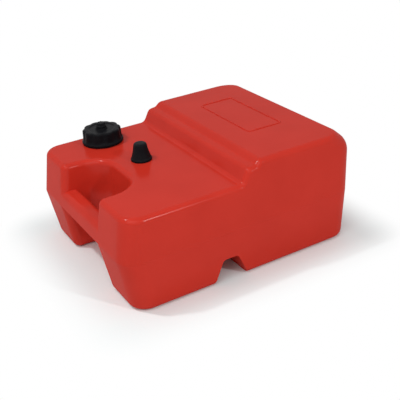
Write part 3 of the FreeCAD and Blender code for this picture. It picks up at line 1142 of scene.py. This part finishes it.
def looking(tree: NodeTree) -> NodeSocket:
    """Rays that look at the surroundings, directly, in a mirror or through glass.

    Args:
        tree: Where the nodes go.

    Returns:
        1 for such a ray.
    """
    rays = add_node(tree, "ShaderNodeLightPath").outputs
    either = maths(tree, "MAXIMUM", rays["Is Camera Ray"], rays["Is Glossy Ray"])
    return maths(tree, "MAXIMUM", either, rays["Is Transmission Ray"])


@dataclass(frozen=True)
class Lamp:
    """One square area lamp.

    Attributes:
        name: Its name.
        place: Its position in metres.
        size: Side of its square in metres.
        power: Watts.
    """

    name: str
    place: tuple[float, float, float]
    size: float
    power: float


@dataclass(frozen=True)
class Studio:
    """Camera, lamps, floor and surroundings, in metres.

    Attributes:
        camera_place: Camera position.
        yaw_deg: Its heading, anticlockwise from +X.
        down_deg: Its tilt below the level.
        roll_deg: Its turn about the line of sight.
        focal_px: Focal length in pixels of the 400-pixel frame.
        frame_px: Side of the frame.
        sensor_mm: Width of the sensor.
        lamps: Two small lamps that glint on the edges, and a large soft one in front.
        target: Point that the lamps face.
        sky: Strength of the light from all sides.
        paper: sRGB colour of the floor.
        paper_roughness: Its roughness.
        paper_gloss: Strength of its reflection.
        floor_reach: Half the floor's side.
        floor_drop: How far it lies below the object's foot.
        shade_reach: Distance from the object's outline at which it has turned plain white.
    """

    camera_place: tuple[float, float, float] = (-0.5645, -1.0569, 0.6896)
    yaw_deg: float = 61.38
    down_deg: float = 27.59
    roll_deg: float = -4.26
    focal_px: float = 742.1
    frame_px: int = 400
    sensor_mm: float = 36.0
    lamps: tuple[Lamp, ...] = (
        Lamp("key", (-0.95, 0.35, 1.85), 0.09, 11.5),
        Lamp("side", (0.5, -1.67, 1.13), 0.09, 8.5),
        Lamp("front", (-0.9, -0.8, 1.3), 1.2, 8.0),
    )
    target: tuple[float, float, float] = (0.0, 0.0, 0.1)
    sky: float = 0.46
    paper: str = "F0F9F9"
    paper_roughness: float = 0.9
    paper_gloss: float = 0.1
    floor_reach: float = 6.0
    floor_drop: float = 0.2 * MM
    shade_reach: float = 0.10

    def make(self) -> None:
        """Builds the whole studio."""
        self.camera()
        for lamp in self.lamps:
            self.light(lamp)
        self.floor()
        self.surroundings()
        bpy.context.scene.view_settings.view_transform = "Standard"

    def camera(self) -> None:
        """Sets up the camera."""
        yaw, down, roll = map(math.radians, (self.yaw_deg, self.down_deg, self.roll_deg))
        ahead = Vector((math.cos(yaw) * math.cos(down), math.sin(yaw) * math.cos(down),
                        -math.sin(down)))
        level = Vector((math.sin(yaw), -math.cos(yaw), 0))
        above = level.cross(ahead)
        right = level * math.cos(roll) + above * math.sin(roll)
        up = above * math.cos(roll) - level * math.sin(roll)
        data = bpy.data.cameras.new("camera")
        data.sensor_width = self.sensor_mm
        data.lens = self.focal_px / self.frame_px * self.sensor_mm
        camera = bpy.data.objects.new("camera", data)
        turn = Matrix((right, up, -ahead)).transposed()
        camera.matrix_world = Matrix.Translation(self.camera_place) @ turn.to_4x4()
        bpy.context.scene.collection.objects.link(camera)
        bpy.context.scene.camera = camera

    def light(self, lamp: Lamp) -> None:
        """Adds an area lamp that faces the object.

        Args:
            lamp: Its place, size and power.
        """
        data = bpy.data.lights.new(lamp.name, "AREA")
        data.size = lamp.size
        data.energy = lamp.power
        light = bpy.data.objects.new(lamp.name, data)
        light.location = lamp.place
        aim = Vector(self.target) - Vector(lamp.place)
        light.rotation_euler = aim.to_track_quat("-Z", "Y").to_euler()
        bpy.context.scene.collection.objects.link(light)

    def floor(self) -> None:
        """Pale floor that keeps the object's shadow and turns white away from it."""
        form = bmesh.new()
        bmesh.ops.create_grid(form, x_segments=1, y_segments=1, size=self.floor_reach)
        mesh = bpy.data.meshes.new("floor")
        form.to_mesh(mesh)
        form.free()
        floor = bpy.data.objects.new("floor", mesh)
        floor.location.z = -self.floor_drop
        bpy.context.scene.collection.objects.link(floor)
        floor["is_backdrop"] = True
        mesh.materials.append(self.floor_paper())

    def floor_paper(self) -> Material:
        """White paper near the object, plain white further off.

        Returns:
            The material.
        """
        material = bpy.data.materials.new("floor_paper")
        material.use_nodes = True
        tree = material.node_tree
        paper = tree.nodes["Principled BSDF"]
        paper.inputs["Base Color"].default_value = linear(self.paper)
        paper.inputs["Roughness"].default_value = self.paper_roughness
        paper.inputs["Specular IOR Level"].default_value = self.paper_gloss
        white = add_node(tree, "ShaderNodeEmission", {"Strength": 1.0})
        low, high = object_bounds()
        half = ((high.x - low.x) / 2, (high.y - low.y) / 2, 0)
        outside = add_node(tree, "ShaderNodeTexCoord").outputs["Object"]
        # Distance from the object's outline: |place| - half its size, where that is above zero
        for step in ({"operation": "ABSOLUTE"}, {"operation": "SUBTRACT", 1: half},
                     {"operation": "MAXIMUM", 1: (0, 0, 0)}):
            outside = add_node(tree, "ShaderNodeVectorMath", step, {0: outside}).outputs["Vector"]
        reach = add_node(tree, "ShaderNodeVectorMath", {"operation": "LENGTH"}, {0: outside})
        far = add_node(tree, "ShaderNodeMapRange",
                       {"interpolation_type": "SMOOTHSTEP", "From Max": self.shade_reach},
                       {"Value": reach.outputs["Value"]})
        seen = maths(tree, "MULTIPLY", far.outputs["Result"], looking(tree))
        blend = add_node(tree, "ShaderNodeMixShader", None,
                         {"Fac": seen, 1: paper.outputs["BSDF"], 2: white.outputs["Emission"]})
        surface = tree.nodes["Material Output"].inputs["Surface"]
        tree.links.new(blend.outputs["Shader"], surface)
        return material

    def surroundings(self) -> None:
        """Soft even light from all sides, seen as white."""
        world = bpy.data.worlds.new("surroundings")
        world.use_nodes = True
        tree = world.node_tree
        soft = tree.nodes["Background"]
        soft.inputs["Color"].default_value = WHITE
        soft.inputs["Strength"].default_value = self.sky
        white = add_node(tree, "ShaderNodeBackground", {"Color": WHITE, "Strength": 1.0})
        blend = add_node(tree, "ShaderNodeMixShader", None,
                         {"Fac": looking(tree), 1: soft.outputs["Background"],
                          2: white.outputs["Background"]})
        surface = tree.nodes["World Output"].inputs["Surface"]
        tree.links.new(blend.outputs["Shader"], surface)
        bpy.context.scene.world = world


def main() -> None:
    """Builds the object's looks and the studio."""
    workshop = Workshop()
    workshop.paint_cad_nodes()
    Shell(workshop).make()
    FillerCap(workshop).make()
    VentKnob(workshop).make()
    DustCover(workshop).make()
    ValveSpring(workshop).make()
    Studio().make()


if __name__ == "__main__":
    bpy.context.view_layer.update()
    main()
    bpy.context.view_layer.update()
